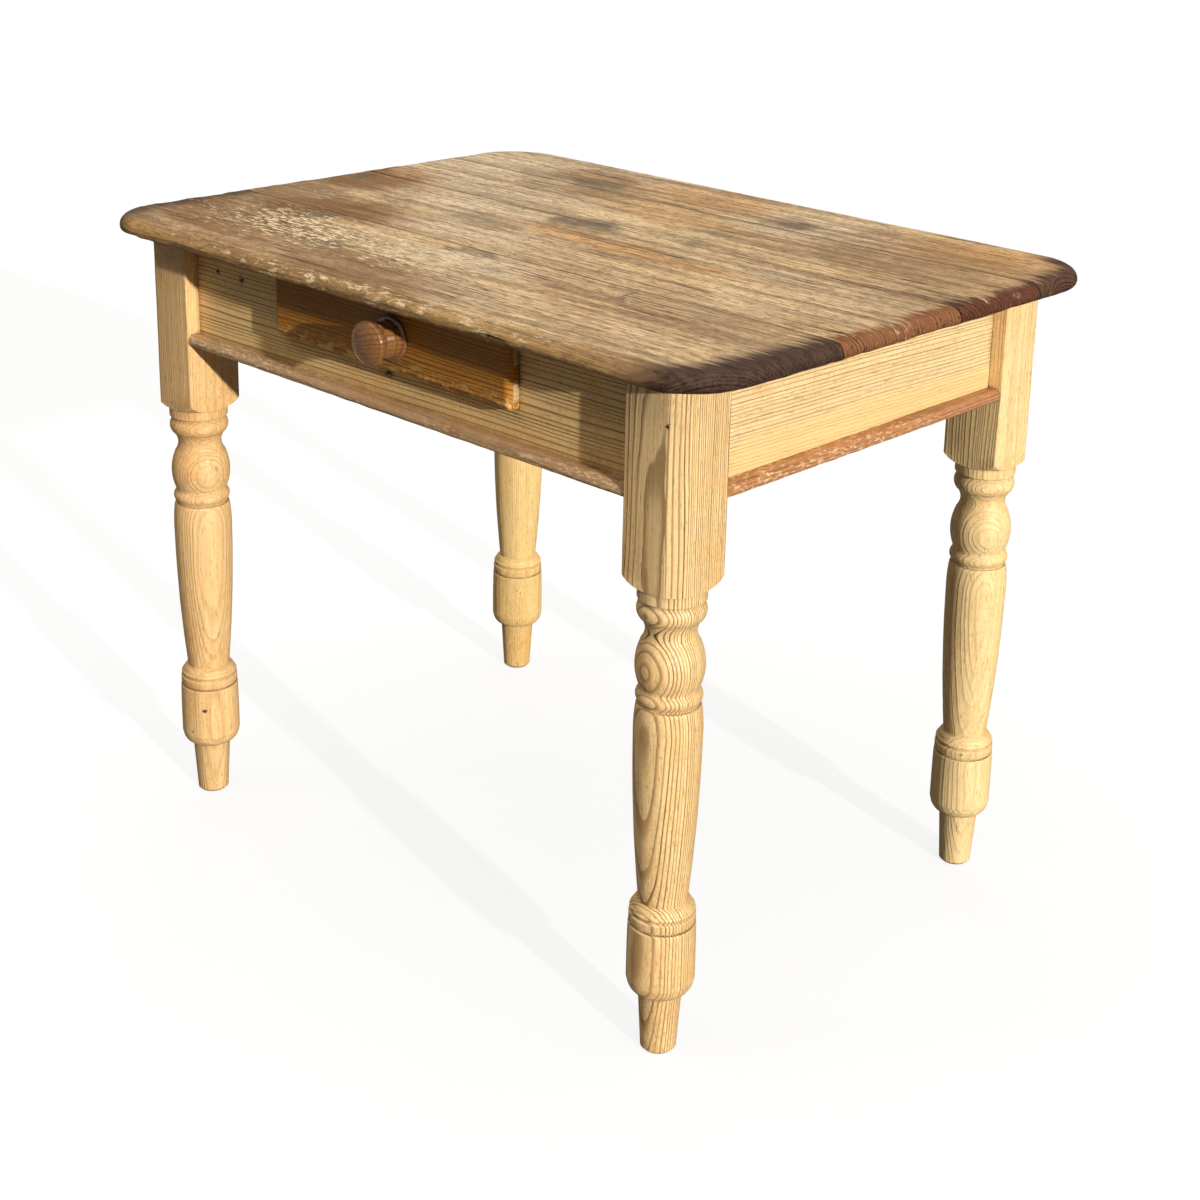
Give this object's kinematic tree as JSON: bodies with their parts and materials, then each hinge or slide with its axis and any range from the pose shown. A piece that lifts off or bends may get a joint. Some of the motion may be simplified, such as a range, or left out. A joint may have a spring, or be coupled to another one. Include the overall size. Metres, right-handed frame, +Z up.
{
  "type": "farmhouse table",
  "caption": "Small pine table with turned legs, a rounded board top and one dovetailed drawer that slides out under it, for eating at or working on.",
  "frame": {"origin": "on the floor under the middle of the top", "axes": "+Z up, X along the drawer side, the drawer opens towards -Y"},
  "size_m": [0.972, 0.704, 0.762],
  "materials": {
    "leg_pine": "waxed honey pine, turned",
    "apron_pine": "waxed pine, straight grain",
    "nosing_pine": "old reddish brown polish, worn",
    "top_pine": "weathered, stained and scratched",
    "drawer_front_pine": "old orange-brown wax",
    "knob_wood": "polished dark brown",
    "inner_pine": "bare, unfinished",
    "iron": "dull old iron"
  },
  "bodies": {
    "table": {"apron_back": "apron_pine", "apron_front": "apron_pine", "apron_left": "apron_pine", "apron_right": "apron_pine", "drawer_stop_left": "inner_pine", "drawer_stop_right": "inner_pine", "glue_block_back_1": "inner_pine", "glue_block_back_2": "inner_pine", "glue_block_back_3": "inner_pine", "glue_block_front_1": "inner_pine", "glue_block_front_2": "inner_pine", "glue_block_left_1": "inner_pine", "glue_block_left_2": "inner_pine", "glue_block_right_1": "inner_pine", "glue_block_right_2": "inner_pine", "guide_left": "inner_pine", "guide_right": "inner_pine", "leg_back_left": "leg_pine", "leg_back_right": "leg_pine", "leg_front_left": "leg_pine", "leg_front_right": "leg_pine", "nosing_back": "nosing_pine", "nosing_front": "nosing_pine", "nosing_left": "nosing_pine", "nosing_right": "nosing_pine", "runner_left": "inner_pine", "runner_right": "inner_pine", "top_board_back": "top_pine", "top_board_front": "top_pine", "top_board_second": "top_pine", "top_board_third": "top_pine"},
    "drawer": {"drawer_back": "inner_pine", "drawer_bottom": "inner_pine", "drawer_bottom_nails": "iron", "drawer_front": "drawer_front_pine", "drawer_knob": "knob_wood", "drawer_side_left": "inner_pine", "drawer_side_right": "inner_pine"}
  },
  "joints": [
    {"name": "drawer_slide", "type": "slide", "parent": "table", "child": "drawer", "axis": [0, -1, 0], "range_m": [-0.016, 0.284]}
  ]
}
